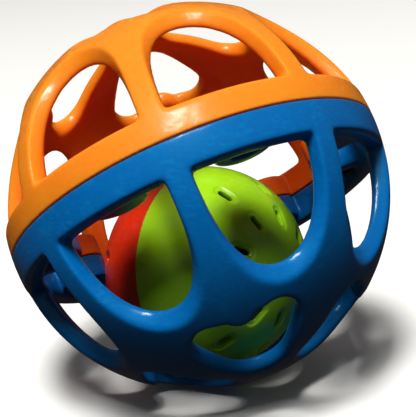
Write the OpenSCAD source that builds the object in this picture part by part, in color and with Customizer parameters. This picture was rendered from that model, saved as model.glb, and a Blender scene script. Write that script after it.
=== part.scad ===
// Rattle ball for a cat: an open cage of two moulded halves, a loose slotted ball inside it,
// and a jingle bell loose inside that ball. Millimetres, +Z up, origin at the cage's centre.
// The toy lies as it was put down, so the cage's pole axis leans away from the vertical.

/* [Cage] */
// Outside diameter of the cage
cage_d = 80; // [76:1:96]
// Wall thickness of both cage halves at the seam
cage_wall = 4.2; // [3.4:0.1:4.6]
// Rise of the hollow's centre above the seam, which leaves the wall thinner at the pole
core_rise = 1.2; // [0:0.1:1.6]
// Height of the solid rim on the upper half, from the seam up to its windows
upper_rim = 5.6; // [5:0.1:8]
// Height of the solid rim on the lower half, from the seam down to its windows
lower_rim = 6.2; // [5:0.1:8]
// Width of the fine groove where the two halves meet
seam_groove = 0.7; // [0.3:0.1:1]

/* [Arched windows] */
// Number of struts on each half
strut_count = 8; // [6:2:10]
// Width of a strut
strut_w = 4.6; // [3.6:0.1:6]
// Distance from the pole axis to the round end of an arched window
arch_reach = 27.2; // [26.4:0.1:30]

/* [Crown windows] */
// Radius of the round end nearest the pole
crown_end_r = 6.4; // [5:0.1:7]
// Distance from the pole axis to the centre of that round end
crown_end_at = 12.5; // [12:0.1:14]
// Radius of the two lobes under the strut
crown_lobe_r = 4.6; // [3:0.1:4.8]
// Distance from the pole axis to the lobes' centres, along the strut
crown_lobe_at = 18.7; // [17.6:0.1:19.2]
// Distance of each lobe's centre from the strut's middle
crown_lobe_aside = 6; // [4:0.1:6.5]
// Radius of the rounded strut root that dips between the lobes
strut_root_r = 4.4; // [3:0.1:5]
// Distance from the pole axis to the strut root's lowest point
strut_root_at = 21.7; // [20.6:0.1:23.2]

/* [Pegged bosses] */
// Diameter of the bosses behind the rim
boss_d = 11.6; // [8:0.1:12]
// Height of a boss from the seam
boss_h = 4.8; // [3:0.1:4.9]
// Distance from the pole axis to a boss's middle
boss_at = 33.2; // [33:0.1:33.8]
// Diameter of the sockets
socket_d = 5; // [4:0.1:6]
// Length of the pegs past the seam
peg_l = 3; // [2:0.1:4]

/* [Loose ball] */
// Outside diameter of the loose ball
ball_d = 42.4; // [38:0.2:42.4]
// Wall thickness of the loose ball
ball_wall = 1.8; // [1.4:0.1:2.4]
// Number of sound slots in each ring
slot_count = 9; // [4:1:10]
// Length of a slot
slot_l = 3.4; // [2:0.1:5]
// Width of a slot
slot_w = 1.2; // [0.8:0.1:2]
// Length of the moulded dish round a slot
dish_l = 5.6; // [5.2:0.1:7]
// Width of that dish
dish_w = 2.6; // [2.2:0.1:4]
// Depth of that dish
dish_depth = 0.5; // [0.3:0.1:0.8]

/* [Jingle bell] */
// Outside diameter of the bell's domes
bell_d = 18; // [14:0.5:20]
// Thickness of the bell's sheet metal
bell_wall = 0.6; // [0.5:0.1:1]
// Diameter of the steel pea
pea_d = 5; // [4:0.5:7]

/* [How it lies] */
// Lean of the cage's pole axis from the vertical
lean = 35.8; // [0:0.1:90]
// Compass direction that the pole axis leans towards, from +X
lean_to = 118.9; // [0:0.1:360]
// Turn of the cage about its pole axis
spin = 58.4; // [0:0.1:90]
// Place along X of the loose ball's middle, where the ball lies against the wall beside a boss
ball_x = 0.65; // [-1:0.05:1]
// Place along Y of the loose ball's middle
ball_y = -1.3; // [-1.5:0.05:0]
// Rise of the green half's pole above the horizontal
green_rise = 7; // [0:0.1:90]
// Compass direction of the green half's pole, from +X
green_to = -41.5; // [-180:0.1:180]

/* [Hidden] */
$fn = 96;

// Room left between pieces that move past each other
running_gap = 0.3;
// How far a cutter runs past the face that it cuts
past = 1;
// A window's circles stand this far past the straight sides that run into them
overlap = 0.02;
cage_r = cage_d / 2;
ball_r = ball_d / 2;
bell_r = bell_d / 2;
pea_r = pea_d / 2;
ball_bore_r = ball_r - ball_wall;
bell_bore_r = bell_r - bell_wall;

// The end circle of an arched window touches the straight sides of both neighbouring struts
half_pitch = 180 / strut_count;
arch_at = (arch_reach - strut_w / 2) / (1 - sin(half_pitch));
arch_r = arch_at - arch_reach;

// The pegs are a push fit in the sockets of the other half
peg_fit = 0.1;
peg_r = socket_d / 2 - peg_fit;
boss_pairs = strut_count / 2;

// The locating lip stands inside the green half and reaches past the seam into the red one
lip_fit = 0.25;
lip_t = 0.8;
lip_reach = 1.6;
lip_root = 5;
lip_r = ball_bore_r - lip_fit;

// Slot rings: their angles from the half's own pole, and the turn of the first slots
slot_tilts = [30, 53.5];
first_slot = 33;

// The bell's belt: flange of the crown, and collar of the bowl rolled over it
belt_t = 0.5;
belt_w = 0.9;
belt_slack = 0.05;
collar_t = 0.5;
collar_lap = 0.5;
bell_slot_w = 1.4;
bell_eye_r = 1.5;
bell_eye_tilt = 52;
loop_wire_r = 0.6;
loop_r = 2.2;
leg_fit = 0.05;
leg_foot_l = 1.4;

// Each loose piece lies at the bottom of what holds it
ball_room = cage_r - cage_wall - ball_r - running_gap;
hollow_aside = -core_rise * sin(lean) * [cos(lean_to), sin(lean_to)];
ball_drop = core_rise * cos(lean) + sqrt(ball_room ^ 2 - norm([ball_x, ball_y] - hollow_aside) ^ 2);
bell_drop = lip_r - lip_t - bell_r - running_gap;
pea_drop = bell_bore_r - pea_r - running_gap;

// Normal of the line that touches two circles on their left side, going from one to the other
function touch_normal(from, from_r, to, to_r) =
    let (way = to - from,
         turn = atan2(way.y, way.x) + acos((from_r - to_r) / norm(way)))
    [cos(turn), sin(turn)];

function across(p) = [p.x, -p.y];

module around(count, first = 0) {
    for (i = [0 : count - 1]) rotate([0, 0, first + i * 360 / count]) children();
}

module cage_lies() rotate([0, 0, lean_to]) rotate([0, lean, 0]) rotate([0, 0, spin]) children();

module ball_lies() translate([ball_x, ball_y, -ball_drop]) children();

module green_faces() rotate([0, 0, green_to]) rotate([0, 90 - green_rise, 0]) children();

module bell_lies() ball_lies() translate([0, 0, -bell_drop]) children();

module dome(outer_r, inner_r, rise = 0) {
    difference() {
        sphere(outer_r);
        translate([0, 0, rise]) sphere(inner_r);
        translate([0, 0, -outer_r]) cube(2 * outer_r, center = true);
    }
}

// Plan of one arched window, pointing along +X: a round end between two straight strut sides
module arched_window() {
    side = [cos(half_pitch), sin(half_pitch)];
    touch = [arch_at - arch_r * sin(half_pitch), arch_r * cos(half_pitch)];
    far = touch + cage_r * side;
    translate([arch_at, 0]) circle(arch_r + overlap);
    polygon([touch, far, across(far), across(touch)]);
}

// Plan of one crown window, pointing along +X: round by the pole, two lobes parted by the strut's root
module crown_window() {
    pole_end = [crown_end_at, 0];
    lobe = [crown_lobe_at, crown_lobe_aside];
    side = touch_normal(pole_end, crown_end_r, lobe, crown_lobe_r);
    low = pole_end + crown_end_r * side;
    high = lobe + crown_lobe_r * side;
    brow = lobe + [crown_lobe_r, 0];
    difference() {
        union() {
            translate(pole_end) circle(crown_end_r + overlap);
            translate(lobe) circle(crown_lobe_r + overlap);
            translate(across(lobe)) circle(crown_lobe_r + overlap);
            polygon([low, high, brow, across(brow), across(high), across(low)]);
        }
        translate([strut_root_at + strut_root_r, 0]) circle(strut_root_r);
    }
}

module seam_line() {
    rotate_extrude() translate([cage_r, 0]) rotate(45) square(seam_groove, center = true);
}

// One moulded half, seam at z = 0 and pole up; all its walls run along the pole, as the mould opens
module cage_half(rim, first_peg, first_socket) {
    difference() {
        union() {
            difference() {
                dome(cage_r, cage_r - cage_wall, core_rise);
                translate([0, 0, rim]) {
                    linear_extrude(cage_r) around(strut_count, half_pitch) arched_window();
                    linear_extrude(cage_r) around(boss_pairs) crown_window();
                }
            }
            around(strut_count, half_pitch) translate([boss_at, 0, 0])
                cylinder(d = boss_d, h = boss_h);
            around(boss_pairs, first_peg) translate([boss_at, 0, -peg_l])
                cylinder(r = peg_r, h = peg_l + boss_h);
        }
        around(boss_pairs, first_socket) translate([boss_at, 0, -past])
            cylinder(d = socket_d, h = boss_h + 2 * past);
        seam_line();
    }
}

module upper_cage_half() {
    color("darkorange") cage_lies() cage_half(upper_rim, half_pitch, 3 * half_pitch);
}

module lower_cage_half() {
    color("dodgerblue") cage_lies() mirror([0, 0, 1]) cage_half(lower_rim, 3 * half_pitch, half_pitch);
}

// A straight-sided slot with round ends, standing on +Z and lying along X
module slot(l, w, h) {
    translate([-(l - w) / 2, 0, 0]) cylinder(d = w, h = h);
    translate([(l - w) / 2, 0, 0]) cylinder(d = w, h = h);
    translate([-(l - w) / 2, -w / 2, 0]) cube([l - w, w, h]);
}

module sound_slots() {
    for (tilt = slot_tilts) around(slot_count, first_slot) rotate([0, tilt, 0]) {
        translate([0, 0, ball_bore_r - past]) slot(slot_l, slot_w, ball_wall + 2 * past);
        translate([0, 0, ball_r - dish_depth]) slot(dish_l, dish_w, ball_wall);
    }
}

module ball_half() {
    difference() {
        dome(ball_r, ball_bore_r);
        sound_slots();
    }
}

module locating_lip() {
    difference() {
        translate([0, 0, -lip_reach]) cylinder(r = lip_r, h = lip_reach + lip_root);
        translate([0, 0, -lip_reach - past])
            cylinder(r = lip_r - lip_t, h = lip_reach + lip_root + 2 * past);
    }
}

module green_ball_half() {
    color("yellowgreen") ball_lies() green_faces() {
        ball_half();
        locating_lip();
    }
}

module red_ball_half() {
    color("orangered") ball_lies() green_faces() rotate([180, 0, 0]) ball_half();
}

module bell_crown() {
    color("gold") bell_lies() difference() {
        union() {
            dome(bell_r, bell_bore_r);
            rotate_extrude() translate([bell_bore_r, 0]) square([bell_wall + belt_w, belt_t]);
        }
        for (x = [-loop_r, loop_r]) translate([x, 0, 0])
            cylinder(r = loop_wire_r + leg_fit, h = bell_d);
    }
}

// Section of the belt's rolled collar, which holds the crown's flange
module collar_section() {
    flange_end = bell_r + belt_w;
    top = belt_t + belt_slack;
    translate([bell_bore_r, -belt_t]) square([flange_end + belt_slack - bell_bore_r, belt_t]);
    translate([flange_end + belt_slack, -belt_t]) square([collar_t, belt_t + top + collar_t]);
    translate([flange_end + belt_slack - collar_lap, top]) square([collar_lap + collar_t, collar_t]);
}

// The lower dome is cut crosswise, and each arm of the cut ends in a round eye
module bell_bowl() {
    cut_top = -bell_r * cos(bell_eye_tilt);
    color("gold") bell_lies() difference() {
        union() {
            rotate([180, 0, 0]) dome(bell_r, bell_bore_r);
            rotate_extrude() collar_section();
        }
        around(4) translate([0, -bell_slot_w / 2, cut_top - bell_d]) cube([bell_r, bell_slot_w, bell_d]);
        around(4) rotate([0, 180 - bell_eye_tilt, 0]) cylinder(r = bell_eye_r, h = bell_d);
    }
}

// A bent wire whose legs go through the crown and turn in under it, which holds the loop
module bell_loop() {
    foot = sqrt(bell_bore_r ^ 2 - (loop_r + loop_wire_r) ^ 2) - loop_wire_r;
    color("gold") bell_lies() {
        translate([0, 0, bell_r]) rotate([90, 0, 0]) rotate_extrude(angle = 180)
            translate([loop_r, 0]) circle(loop_wire_r);
        for (side = [0, 180]) rotate([0, 0, side]) translate([loop_r, 0, foot]) {
            cylinder(r = loop_wire_r, h = bell_r - foot);
            sphere(loop_wire_r);
            rotate([0, -90, 0]) cylinder(r = loop_wire_r, h = leg_foot_l);
        }
    }
}

module bell_pea() {
    color("silver") bell_lies() translate([0, 0, -pea_drop]) sphere(pea_r);
}

upper_cage_half();
lower_cage_half();
green_ball_half();
red_ball_half();
bell_crown();
bell_bowl();
bell_loop();
bell_pea();
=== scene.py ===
# %% [markdown]
# # A cat's bell ball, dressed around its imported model
#
# The toy is an open cage of two glossy moulded halves, orange above and blue below. A loose ball, half
# green and half red, lies at the bottom of the cage, and a jingle bell lies in that ball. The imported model
# gives every piece its exact place, so nothing here is fitted by eye: each new piece is built from the same
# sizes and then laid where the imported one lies.

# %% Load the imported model
import math

import bpy
from mathutils import Matrix, Vector


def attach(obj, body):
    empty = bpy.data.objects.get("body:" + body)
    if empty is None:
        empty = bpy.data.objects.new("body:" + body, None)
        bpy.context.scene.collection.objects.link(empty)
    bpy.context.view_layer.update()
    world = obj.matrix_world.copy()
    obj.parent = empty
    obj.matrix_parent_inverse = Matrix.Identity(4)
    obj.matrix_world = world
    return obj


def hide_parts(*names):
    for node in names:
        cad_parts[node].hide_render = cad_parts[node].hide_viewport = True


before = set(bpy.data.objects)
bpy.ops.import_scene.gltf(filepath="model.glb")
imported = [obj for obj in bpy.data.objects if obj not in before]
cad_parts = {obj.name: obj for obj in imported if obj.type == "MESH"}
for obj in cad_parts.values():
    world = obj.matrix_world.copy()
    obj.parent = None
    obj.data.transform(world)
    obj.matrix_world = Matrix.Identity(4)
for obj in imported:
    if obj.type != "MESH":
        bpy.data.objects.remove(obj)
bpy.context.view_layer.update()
print("packed nodes:", sorted(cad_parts))

# %% [markdown]
# ## Sizes
#
# Blender works in metres here, and a toy is measured in millimetres, so every size is written as a number of
# millimetres times MM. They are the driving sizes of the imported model.

# %% Sizes of the cage and of the loose ball
MM = 0.001
CAGE_R = 40 * MM
CAGE_WALL = 4.2 * MM
CORE_RISE = 1.2 * MM
UPPER_RIM, LOWER_RIM = 5.6 * MM, 6.2 * MM
STRUTS = 8
STRUT_W = 4.6 * MM
ARCH_REACH = 27.2 * MM
CROWN_END_R, CROWN_END_AT = 6.4 * MM, 12.5 * MM
CROWN_LOBE_R, CROWN_LOBE_AT, CROWN_LOBE_ASIDE = 4.6 * MM, 18.7 * MM, 6 * MM
STRUT_ROOT_R, STRUT_ROOT_AT = 4.4 * MM, 21.7 * MM
BOSS_R, BOSS_H, BOSS_AT = 5.8 * MM, 4.8 * MM, 33.2 * MM
SOCKET_R, PEG_R, PEG_L = 2.5 * MM, 2.4 * MM, 3 * MM

BALL_R, BALL_WALL = 21.2 * MM, 1.8 * MM
LIP_FIT, LIP_T, LIP_REACH, LIP_ROOT = 0.25 * MM, 0.8 * MM, 1.6 * MM, 5 * MM
LIP_R = BALL_R - BALL_WALL - LIP_FIT
SLOT_COUNT = 9
SLOT_TILTS = (30, 53.5)
FIRST_SLOT = 33
SLOT_L, SLOT_W = 3.4 * MM, 1.2 * MM
DISH_L, DISH_W, DISH_DEPTH = 5.6 * MM, 2.6 * MM, 0.4 * MM

RUNNING_GAP = 0.3 * MM
SEAM_GAP = 0.15 * MM

# %% How the pieces lie
LEAN, LEAN_TO, SPIN = 35.8, 118.9, 58.4
GREEN_RISE, GREEN_TO = 7, -41.5
BALL_X, BALL_Y = 0.65 * MM, -1.3 * MM
BALL_ROOM = CAGE_R - CAGE_WALL - BALL_R - RUNNING_GAP


def turned(degrees, axis):
    """A turn about one axis, as a 4x4 matrix."""
    return Matrix.Rotation(math.radians(degrees), 4, axis)


CAGE_LIES = turned(LEAN_TO, "Z") @ turned(LEAN, "Y") @ turned(SPIN, "Z")
hollow = CAGE_LIES @ Vector((0, 0, -CORE_RISE))
aside = math.hypot(BALL_X - hollow.x, BALL_Y - hollow.y)
BALL_AT = Vector((BALL_X, BALL_Y, hollow.z - math.sqrt(BALL_ROOM**2 - aside**2)))
GREEN_LIES = Matrix.Translation(BALL_AT) @ turned(GREEN_TO, "Z") @ turned(90 - GREEN_RISE, "Y")
RED_LIES = GREEN_LIES @ turned(180, "X")
print("the cage's pole points to", [round(x, 3) for x in CAGE_LIES @ Vector((0, 0, 1))])

# %% [markdown]
# ## Modelling helpers
#
# Operators act on whatever is selected, so each helper first deselects everything and picks its own object.

# %% Selecting, cutting, joining and laying a piece
def pick(*objects):
    """Select these objects only, and make the first one active."""
    bpy.ops.object.select_all(action="DESELECT")
    for o in objects:
        o.select_set(True)
    bpy.context.view_layer.objects.active = objects[0]


def newest(name):
    """Name the object that an operator just added."""
    made = bpy.context.object
    made.name = name
    return made


def apply_modifier(piece, kind, **settings):
    """Add a modifier, set it and apply it to the mesh."""
    pick(piece)
    modifier = piece.modifiers.new(kind.lower(), kind)
    for key, value in settings.items():
        setattr(modifier, key, value)
    bpy.ops.object.modifier_apply(modifier=modifier.name)


def cut(piece, cutter):
    """Take the cutter's shape out of the piece, and throw the cutter away."""
    apply_modifier(piece, "BOOLEAN", operation="DIFFERENCE", solver="EXACT", object=cutter)
    bpy.data.objects.remove(cutter)


def join(*objects):
    """Make several objects one, with the first one's name."""
    pick(*objects)
    bpy.ops.object.join()
    return objects[0]


def lay(piece, place):
    """Move the piece's mesh to its place, so that its object stays at the origin."""
    pick(piece)
    piece.matrix_world = place @ piece.matrix_world
    bpy.ops.object.transform_apply(location=True, rotation=True, scale=True)
    return piece


def around(piece, count, first=0.0):
    """Copies of the piece in a ring about Z, joined into one object."""
    ring = []
    for i in range(count):
        pick(piece)
        bpy.ops.object.duplicate()
        copy = bpy.context.object
        ring.append(lay(copy, turned(first + i * 360 / count, "Z")))
    bpy.data.objects.remove(piece)
    return join(*ring)


# %% [markdown]
# ## Primitives that the pieces start from
#
# A dome is a sphere that is bisected at its equator and given a wall. A window cutter is the convex hull of
# a few upright cylinders, because the mould of the real cage opens along its pole axis and every wall of a
# window runs that way.

# %% Domes, cylinders and hulls
def sphere(name, radius, rise=0.0, segments=256):
    """A fine round ball, its middle at a height."""
    bpy.ops.object.select_all(action="DESELECT")
    bpy.ops.mesh.primitive_uv_sphere_add(segments=segments, ring_count=segments // 2, radius=radius)
    return lay(newest(name), Matrix.Translation((0, 0, rise)))


def dome(name, outer_r, wall, core_rise=0.0, seam=0.0):
    """Half a hollow sphere, pole up from its seam; a raised core leaves it thinner at the pole."""
    shell = sphere(name, outer_r)
    pick(shell)
    bpy.ops.object.mode_set(mode="EDIT")
    bpy.ops.mesh.select_all(action="SELECT")
    bpy.ops.mesh.bisect(plane_co=(0, 0, seam), plane_no=(0, 0, 1), clear_inner=True, use_fill=True)
    bpy.ops.object.mode_set(mode="OBJECT")
    cut(shell, sphere("core", outer_r - wall, core_rise))
    return shell


def cylinder(name, radius, low, high, at=(0, 0), vertices=96):
    """An upright cylinder from one height to another."""
    bpy.ops.object.select_all(action="DESELECT")
    bpy.ops.mesh.primitive_cylinder_add(
        vertices=vertices, radius=radius, depth=high - low, location=(*at, (low + high) / 2)
    )
    return lay(newest(name), Matrix.Identity(4))


def block(name, low, high):
    """A box between two corners."""
    bpy.ops.object.select_all(action="DESELECT")
    bpy.ops.mesh.primitive_cube_add(size=1)
    box = newest(name)
    box.location = (Vector(low) + Vector(high)) / 2
    box.scale = Vector(high) - Vector(low)
    return lay(box, Matrix.Identity(4))


def hull(*objects):
    """The convex hull of several objects, as one object."""
    whole = join(*objects)
    bpy.ops.object.mode_set(mode="EDIT")
    bpy.ops.mesh.select_all(action="SELECT")
    bpy.ops.mesh.convex_hull()
    bpy.ops.object.mode_set(mode="OBJECT")
    return whole


# %% [markdown]
# ## The cage
#
# Each half is a dome with eight arched windows that stand on its rim and four crown windows round its pole.
# Behind the rim stand bosses: every second one carries a peg, and the ones between have a socket for the
# other half's peg.
#
# The edges of moulded windows are softly rounded. A bevel can't follow the thin triangles that boolean cuts
# leave, so the half is remeshed into small even squares and then smoothed, which rolls every edge over
# by the same amount and leaves the large spheres as they are.

# %% Window cutters
HALF_PITCH = 180 / STRUTS
lean_in = math.sin(math.radians(HALF_PITCH))
ARCH_AT = (ARCH_REACH - STRUT_W / 2) / (1 - lean_in)
ARCH_R = ARCH_AT - ARCH_REACH
CUTTER_TOP = 1.2 * CAGE_R
FAR_EDGE = 1.3 * CAGE_R
SLIVER = 0.01 * MM
BLUNT = 0.6 * MM
ROLLED, SILL_ROLLED = 0.2 * MM, 0.25 * MM


def arched_cutter(rim, wider=0.0):
    """A round end towards the pole that widens outwards between two straight strut sides."""
    sill = rim + SILL_ROLLED
    aside = wider - ROLLED
    half_width = (FAR_EDGE * lean_in - STRUT_W / 2 + aside) / math.cos(math.radians(HALF_PITCH))
    end = cylinder("arch", ARCH_R + aside, sill, CUTTER_TOP, (ARCH_AT, 0))
    mouth = block("mouth", (FAR_EDGE, -half_width, sill), (FAR_EDGE + SLIVER, half_width, CUTTER_TOP))
    return hull(end, mouth)


def crown_cutter(wider=0.0):
    """Round by the pole, with two lobes that the root of a strut parts."""
    aside = wider - ROLLED
    end = cylinder("crown", CROWN_END_R + aside, 0, CUTTER_TOP, (CROWN_END_AT, 0))
    lobes = [
        cylinder("lobe", CROWN_LOBE_R + aside, 0, CUTTER_TOP, (CROWN_LOBE_AT, side * CROWN_LOBE_ASIDE))
        for side in (-1, 1)
    ]
    crown = hull(end, *lobes)
    root_at = (STRUT_ROOT_AT + STRUT_ROOT_R, 0)
    cut(crown, cylinder("root", STRUT_ROOT_R - aside, -MM, CUTTER_TOP + MM, root_at))
    return crown


def blunt_lips(half, rim):
    """Take the sharp edge off the windows: inside at the arches, outside at the crown windows."""
    inside = around(arched_cutter(rim, BLUNT), STRUTS, HALF_PITCH)
    core = sphere("core", CAGE_R - CAGE_WALL + BLUNT, CORE_RISE)
    apply_modifier(inside, "BOOLEAN", operation="INTERSECT", solver="EXACT", object=core)
    bpy.data.objects.remove(core)
    cut(half, inside)
    outside = around(crown_cutter(BLUNT), STRUTS // 2)
    cut(outside, sphere("skin", CAGE_R - BLUNT))
    cut(half, outside)


# %% Bosses with pegs and sockets
ROUNDED_AWAY = 0.4 * MM


def boss():
    """A plain boss behind the rim, larger by what the rounding of its edges takes off."""
    return cylinder("boss", BOSS_R + ROUNDED_AWAY, SEAM_GAP, BOSS_H + ROUNDED_AWAY, (BOSS_AT, 0))


def peg():
    """A peg that stands past the seam."""
    return cylinder("peg", PEG_R, -PEG_L, BOSS_H / 2, (BOSS_AT, 0))


def socket():
    """A cutter for a hole right through a boss."""
    return cylinder("socket", SOCKET_R, -MM, BOSS_H + MM, (BOSS_AT, 0))


# %% Rounded edges
MOST_TRIANGLES = 190000
CRISP_TO = 1.6 * MM


def soften(piece, voxel, seam_rounds, rounds):
    """Even squares all over, then rounded edges, with fewer rounds of smoothing near the seam."""
    apply_modifier(piece, "REMESH", mode="VOXEL", voxel_size=voxel, adaptivity=0.0)
    apply_modifier(piece, "SMOOTH", factor=0.5, iterations=seam_rounds)
    soft = piece.vertex_groups.new(name="soft")
    for v in piece.data.vertices:
        soft.add([v.index], min(1.0, max(0.0, v.co.z / CRISP_TO - 0.3)), "REPLACE")
    apply_modifier(piece, "SMOOTH", factor=0.5, iterations=rounds, vertex_group="soft")
    triangles = 2 * len(piece.data.polygons)
    if triangles > MOST_TRIANGLES:
        apply_modifier(piece, "DECIMATE", ratio=MOST_TRIANGLES / triangles)
    pick(piece)
    bpy.ops.object.shade_smooth()
    return piece


# %% Both halves of the cage
CAGE_VOXEL = 0.22 * MM
CAGE_SEAM_ROUNDS, CAGE_ROUNDS = 6, 80


def cage_half(name, rim, first_peg, first_socket):
    """One moulded half, pole up."""
    half = dome(name, CAGE_R, CAGE_WALL, CORE_RISE, SEAM_GAP)
    cut(half, around(arched_cutter(rim), STRUTS, HALF_PITCH))
    cut(half, around(crown_cutter(), STRUTS // 2))
    blunt_lips(half, rim)
    bosses = around(boss(), STRUTS, HALF_PITCH)
    for piece in (half, bosses):
        cut(piece, around(socket(), STRUTS // 2, first_socket))
    pegs = around(peg(), STRUTS // 2, first_peg)
    return soften(join(half, bosses, pegs), CAGE_VOXEL, CAGE_SEAM_ROUNDS, CAGE_ROUNDS)


upper_half = cage_half("upper_cage", UPPER_RIM, HALF_PITCH, 3 * HALF_PITCH)
lay(upper_half, CAGE_LIES)
# Turned over about X, the lower half's turns run the other way round.
lower_half = cage_half("lower_cage", LOWER_RIM, -3 * HALF_PITCH, -HALF_PITCH)
lay(lower_half, CAGE_LIES @ turned(180, "X"))
for half in (upper_half, lower_half):
    print(half.name, len(half.data.polygons), "faces")

# %% [markdown]
# ## The loose ball
#
# Two thin domes, with two rings of sound slots each. Every slot lies in a shallow moulded dish.

# %% Slots and dishes
SLOT_PAST = 1 * MM


def stadium(name, length, width, low, high):
    """An upright slot with round ends that lies along X."""
    reach = (length - width) / 2
    ends = [cylinder(name, width / 2, low, high, (side * reach, 0), 32) for side in (-1, 1)]
    return hull(*ends)


def slot_ring(name, length, width, low, high, tilt):
    """A ring of such slots on the dome, tilted from its pole."""
    one = stadium(name, length, width, low, high)
    lay(one, turned(tilt, "Y"))
    return around(one, SLOT_COUNT, FIRST_SLOT)


# %% Both halves of the loose ball
BALL_VOXEL = 0.18 * MM
BALL_SEAM_ROUNDS, BALL_ROUNDS = 2, 12


def locating_lip():
    """The short sleeve inside the green half that reaches into the red one."""
    sleeve = cylinder("lip", LIP_R, -LIP_REACH, LIP_ROOT, vertices=192)
    cut(sleeve, cylinder("lip_bore", LIP_R - LIP_T, -LIP_REACH - MM, LIP_ROOT + MM, vertices=192))
    return sleeve


def ball_half(name):
    """One slotted dome, pole up."""
    half = dome(name, BALL_R, BALL_WALL)
    for tilt in SLOT_TILTS:
        bore_r = BALL_R - BALL_WALL
        cut(half, slot_ring("dish", DISH_L, DISH_W, BALL_R - DISH_DEPTH, BALL_R + MM, tilt))
        cut(half, slot_ring("slot", SLOT_L, SLOT_W, bore_r - SLOT_PAST, BALL_R + MM, tilt))
    return half


green_half = join(ball_half("green_ball"), locating_lip())
soften(green_half, BALL_VOXEL, BALL_SEAM_ROUNDS, BALL_ROUNDS)
lay(green_half, GREEN_LIES)
red_half = soften(ball_half("red_ball"), BALL_VOXEL, BALL_SEAM_ROUNDS, BALL_ROUNDS)
lay(red_half, RED_LIES)
for half in (green_half, red_half):
    print(half.name, len(half.data.polygons), "faces")

# %% [markdown]
# ## Shader maths
#
# A Wire is the output of a shader node. Sums and products of wires add Math nodes, so a finish reads like
# a formula.

# %% Wires and finishes
class Wire:
    """A node's output that takes part in sums."""

    def __init__(self, finish, socket):
        self.finish = finish
        self.socket = socket

    def _math(self, operation, first, second):
        return self.finish.node("ShaderNodeMath", {"operation": operation}, {0: first, 1: second})

    def __add__(self, other):
        return self._math("ADD", self, other)

    __radd__ = __add__

    def __sub__(self, other):
        return self._math("SUBTRACT", self, other)

    def __rsub__(self, other):
        return self._math("SUBTRACT", other, self)

    def __mul__(self, other):
        return self._math("MULTIPLY", self, other)

    __rmul__ = __mul__


class Finish:
    """A material whose nodes are added one expression at a time."""

    def __init__(self, name):
        self.material = bpy.data.materials.new(name)
        self.material.use_nodes = True
        self.tree = self.material.node_tree
        self.shader = self.tree.nodes["Principled BSDF"]

    def _feed(self, socket, value):
        if isinstance(value, Wire):
            self.tree.links.new(value.socket, socket)
        else:
            socket.default_value = value

    def node(self, kind, settings, values, out=0):
        """Add a node: its settings first, then its sockets' values or links."""
        made = self.tree.nodes.new(kind)
        for key, value in settings.items():
            setattr(made, key, value)
        for key, value in values.items():
            self._feed(made.inputs[key], value)
        return Wire(self, made.outputs[out])

    def place(self, scale=(1, 1, 1), turn=(0, 0, 0)):
        """Object coordinates, stretched and turned."""
        coordinates = self.node("ShaderNodeTexCoord", {}, {}, "Object")
        values = {"Vector": coordinates, "Scale": scale, "Rotation": [math.radians(a) for a in turn]}
        return self.node("ShaderNodeMapping", {}, values)

    def noise(self, place, scale, detail=2.0, roughness=0.5):
        """Cloudy noise from 0 to 1."""
        values = {"Vector": place, "Scale": scale, "Detail": detail, "Roughness": roughness}
        return self.node("ShaderNodeTexNoise", {}, values, "Fac")

    def ramp(self, wire, low, high):
        """0 below low, 1 above high, smooth between."""
        settings = {"interpolation_type": "SMOOTHSTEP"}
        return self.node("ShaderNodeMapRange", settings, {"Value": wire, "From Min": low, "From Max": high})

    def blend(self, amount, first, second):
        """A colour between two colours."""
        return self.node("ShaderNodeMix", {"data_type": "RGBA"}, {0: amount, 6: first, 7: second}, 2)

    def set(self, **values):
        """Set or link the shader's own sockets, written with _ for a space."""
        for key, value in values.items():
            self._feed(self.shader.inputs[key.replace("_", " ")], value)


def linear(red, green, blue):
    """A colour from the numbers of a screen colour, 0 to 255, to light."""
    def light(x):
        x /= 255
        return x / 12.92 if x <= 0.04045 else ((x + 0.055) / 1.055) ** 2.4
    return (light(red), light(green), light(blue), 1.0)


# %% [markdown]
# ## Moulded plastic
#
# Injection-moulded plastic is almost one colour, with faint clouds where it flowed. The inner surfaces of the
# cage are painted a deeper colour, which is painted shade: it stands in for the dim, reddened light inside
# the cage. The skin has a soft sheen under a thin, worn gloss: the gloss gives the small crisp glints, and
# handling breaks it with fine scuffs and duller patches. A little light passes through it.

# %% The moulded plastics
def scuffs(finish, seed):
    """Fine long lines in three directions, sparse and broken: 1 on a line, 0 elsewhere."""
    whole = None
    for i, turn in enumerate([(20, 35, 10), (70, -20, 55), (-35, 80, 120)]):
        stretched = finish.place((3600, 3600, 70), [a + seed for a in turn])
        lines = finish.ramp(finish.noise(stretched, 1.0, 1.0), 0.66, 0.74)
        patches = finish.ramp(finish.noise(finish.place((1, 1, 1), turn), 110 + 20 * i), 0.5, 0.62)
        broken = lines * patches
        whole = broken if whole is None else whole + broken
    return finish.node("ShaderNodeClamp", {}, {"Value": whole})


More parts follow.
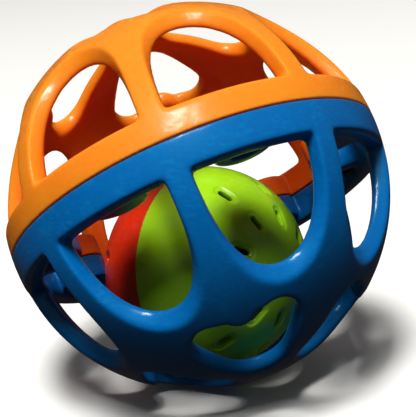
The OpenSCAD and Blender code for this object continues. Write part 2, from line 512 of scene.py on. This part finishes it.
def plastic(name, colours, seed, wear, see_through):
    """Moulded plastic: the outside colour, the deeper painted shade inside, and the pale one of a scuff."""
    outside, inside, scuffed, sheen = colours
    finish = Finish(name)
    place = finish.place()
    # Painted shade: surfaces less than a wall's thickness from the middle, the inside of the cage, take the deeper
    # inside colour; the mottling darkens towards that same colour at random.
    from_middle = finish.node("ShaderNodeVectorMath", {"operation": "LENGTH"}, {0: place}, 1)
    painted_inner_shade_ramp = finish.ramp(from_middle, CAGE_R - CAGE_WALL, CAGE_R - MM)
    clouds = finish.noise(place, 60.0, 3.0)
    grain = finish.noise(place, 1100.0, 4.0, 0.7)
    lines = scuffs(finish, seed)
    depth = finish.ramp(clouds * 0.5 + grain * 0.5, 0.3, 0.7) * (3 * wear)
    shade = finish.blend(depth, finish.blend(painted_inner_shade_ramp, inside, outside), inside)
    dull = finish.ramp(finish.noise(place, 190.0, 5.0, 0.65), 0.35, 0.7)
    rubbed = finish.ramp(finish.noise(finish.place((500, 500, 1500), (40, 10 + seed, 65)), 1.0, 3.0), 0.45, 0.65)
    worn = finish.blend((lines + dull * rubbed) * wear, shade, scuffed)
    height = finish.noise(place, 700.0, 2.0) * 0.25 - lines * 0.5
    normal = finish.node("ShaderNodeBump", {}, {"Strength": 0.12, "Distance": 0.0002, "Height": height})
    finish.set(Base_Color=worn, Roughness=0.4 + dull * 0.1, Specular_Tint=sheen, Normal=normal, IOR=1.5)
    finish.set(Coat_Weight=0.75 - dull * 0.35 - rubbed * 0.3 - lines * 0.3, Coat_Roughness=0.15)
    finish.set(Subsurface_Weight=see_through, Subsurface_Radius=PASSES, Subsurface_Scale=DEEPEST)
    return finish.material


PASSES = (1.0, 0.25, 0.08)
DEEPEST = 3 * MM
# Each plastic's second colour is painted shade on the inner surfaces of the cage, and the colour that the mottling
# deepens towards; for the ball's plastics it is the same as the outside colour.
ORANGE, ORANGE_MOTTLE_AND_SHADE, ORANGE_SCUFF = (0.9, 0.275, 0.01, 1), (0.95, 0.12, 0.003, 1), (1, 0.5, 0.18, 1)
WARM_SHEEN, BLUE_SHEEN, PALE_SHEEN = (1, 0.8, 0.45, 1), (0.05, 0.7, 1, 1), (1, 1, 0.8, 1)
BLUE, BLUE_MOTTLE_AND_SHADE, BLUE_SCUFF = (0, 0.135, 0.44, 1), (0, 0.09, 0.32, 1), (0.03, 0.36, 0.7, 1)
GREEN, GREEN_INSIDE, GREEN_SCUFF = (0.31, 0.66, 0.006, 1), (0.31, 0.66, 0.006, 1), (0.58, 0.8, 0.2, 1)
RED, RED_INSIDE, RED_SCUFF = (0.62, 0.02, 0.002, 1), (0.62, 0.02, 0.002, 1), (0.86, 0.27, 0.16, 1)
orange = plastic("orange_plastic", (ORANGE, ORANGE_MOTTLE_AND_SHADE, ORANGE_SCUFF, WARM_SHEEN), 0, 0.07, 0.5)
blue = plastic("blue_plastic", (BLUE, BLUE_MOTTLE_AND_SHADE, BLUE_SCUFF, BLUE_SHEEN), 17, 0.14, 0.0)
green = plastic("green_plastic", (GREEN, GREEN_INSIDE, GREEN_SCUFF, PALE_SHEEN), 31, 0.1, 0.0)
red = plastic("red_plastic", (RED, RED_INSIDE, RED_SCUFF, WARM_SHEEN), 43, 0.06, 0.0)

# %% [markdown]
# ## Bell metal and pea
#
# The bell is pressed from bright brass-coloured sheet, and the pea is plain steel. Both show only as glints
# through the slots.

# %% Bell and pea finishes
def metal(name, bright, tarnished, polish):
    """Bright metal with tarnish in clouds and fine drawing marks."""
    finish = Finish(name)
    tarnish = finish.ramp(finish.noise(finish.place(), 320.0, 4.0), 0.45, 0.7)
    marks = finish.noise(finish.place((300, 300, 6000)), 1.0, 2.0)
    normal = finish.node("ShaderNodeBump", {}, {"Strength": 0.1, "Distance": 0.0001, "Height": marks})
    finish.set(Base_Color=finish.blend(tarnish, bright, tarnished), Metallic=1.0)
    finish.set(Roughness=polish + tarnish * 0.25, Normal=normal)
    return finish.material


brass = metal("bell_brass", linear(226, 190, 110), linear(160, 118, 60), 0.18)
steel = metal("pea_steel", linear(200, 200, 204), linear(128, 124, 120), 0.2)
for node in ("bell_crown", "bell_bowl", "bell_loop"):
    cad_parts[node].data.materials.clear()
    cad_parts[node].data.materials.append(brass)
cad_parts["bell_pea"].data.materials.clear()
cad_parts["bell_pea"].data.materials.append(steel)

# %% Give every new piece its finish and its body, and hide the imported piece that it stands for
PIECES = [
    (upper_half, orange, "cage", "upper_cage_half", "orange_plastic"),
    (lower_half, blue, "cage", "lower_cage_half", "blue_plastic"),
    (green_half, green, "loose_ball", "green_ball_half", "green_plastic"),
    (red_half, red, "loose_ball", "red_ball_half", "red_plastic"),
]
for piece, finish, body, node, slot in PIECES:
    piece.data.materials.clear()
    piece.data.materials.append(finish)
    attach(piece, body)
    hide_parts(node)
    print(piece.name, "rides on", body, "and stands for", node)

# %% [markdown]
# ## Floor, light and camera
#
# The toy lies on a plain pale floor under a large soft light, above and a little in front of it. The floor
# doesn't throw light back up at the toy, so the underside stays as dark as it is on the photograph.

# %% Floor
FLOOR_SIZE = 40.0
bpy.ops.object.select_all(action="DESELECT")
bpy.ops.mesh.primitive_plane_add(size=FLOOR_SIZE, location=(0, 0, -CAGE_R))
floor = newest("floor")
pale = Finish("pale_floor")
speckle = pale.noise(pale.place(), 900.0, 3.0)
pale.set(Base_Color=pale.blend(speckle, (0.86, 0.86, 0.85, 1), (0.9, 0.9, 0.89, 1)), Roughness=0.7)
floor.data.materials.append(pale.material)
floor.visible_diffuse = False
floor.visible_glossy = False

# %% World: a pale ceiling, dim walls and a dark brown ground
world = bpy.data.worlds.new("studio")
world.use_nodes = True
bpy.context.scene.world = world
sky = world.node_tree
toward = sky.nodes.new("ShaderNodeTexCoord")
parts = sky.nodes.new("ShaderNodeSeparateXYZ")
ramp = sky.nodes.new("ShaderNodeValToRGB")
sky.links.new(toward.outputs["Generated"], parts.inputs[0])
height = sky.nodes.new("ShaderNodeMapRange")
sky.links.new(parts.outputs["Z"], height.inputs["Value"])
height.inputs["From Min"].default_value = -1
sky.links.new(height.outputs[0], ramp.inputs[0])
GROUND, NEAR_GROUND, WALLS, CEILING = (0.03, 0.02, 0.016), (0.03, 0.024, 0.02), (0.05, 0.05, 0.05), (0.19, 0.19, 0.19)
SKY = [(0.0, GROUND), (0.48, NEAR_GROUND), (0.6, WALLS), (1.0, CEILING)]
stops = ramp.color_ramp.elements
while len(stops) < len(SKY):
    stops.new(0.5)
for stop, (at, colour) in zip(stops, SKY):
    stop.position = at
    stop.color = (*colour, 1)
sky.links.new(ramp.outputs[0], sky.nodes["Background"].inputs["Color"])

# %% Lamps
LAMP_AWAY = 3.0


def lamp(name, direction, width, height, light, colour):
    """A lamp that looks at the toy; a white card facing it would shine as brightly as light says."""
    bpy.ops.object.select_all(action="DESELECT")
    away = Vector(direction).normalized()
    bpy.ops.object.light_add(type="AREA", location=away * LAMP_AWAY)
    made = newest(name)
    made.rotation_euler = away.to_track_quat("Z", "Y").to_euler()
    made.data.shape = "RECTANGLE"
    made.data.size = width
    made.data.size_y = height
    made.data.energy = light * (math.pi * LAMP_AWAY) ** 2
    made.data.color = colour
    return made


overhead = lamp("overhead", (-0.1, -0.29, 0.9), 0.7, 0.7, 0.95, (1, 0.98, 0.94))
overhead.visible_glossy = False
lamp("wide_window", (-0.12, -0.5, 0.9), 0.5, 0.8, 0.45, (1, 0.99, 0.97))
lamp("narrow_window", (0.06, -0.48, 0.9), 0.16, 0.8, 0.1, (1, 0.99, 0.97))

# %% Camera at the photograph's viewing angle
PHOTO_W, PHOTO_H = 416, 417
CENTRE_X, CENTRE_Y = 196, 196
CAMERA_DISTANCE = 6.7 * CAGE_R
CAMERA_RISE, CAMERA_ROLL = 15, 5.6
FOCAL_PX = 1288.5
SENSOR = 36
bpy.ops.object.select_all(action="DESELECT")
bpy.ops.object.camera_add()
camera = newest("camera")
camera.location = turned(-CAMERA_RISE, "X") @ Vector((0, -CAMERA_DISTANCE, 0))
looks = camera.location.to_track_quat("Z", "Y").to_matrix().to_4x4()
camera.rotation_euler = (looks @ turned(-CAMERA_ROLL, "Z")).to_euler()
camera.data.sensor_width = SENSOR
camera.data.lens = FOCAL_PX * SENSOR / max(PHOTO_W, PHOTO_H)
camera.data.shift_x = (PHOTO_W / 2 - CENTRE_X) / max(PHOTO_W, PHOTO_H)
camera.data.shift_y = (CENTRE_Y - PHOTO_H / 2) / max(PHOTO_W, PHOTO_H)
camera.data.clip_start = 0.01
bpy.context.scene.camera = camera
bpy.context.scene.view_settings.view_transform = "Standard"
print("camera at", [round(x, 4) for x in camera.location], "lens", round(camera.data.lens, 1))
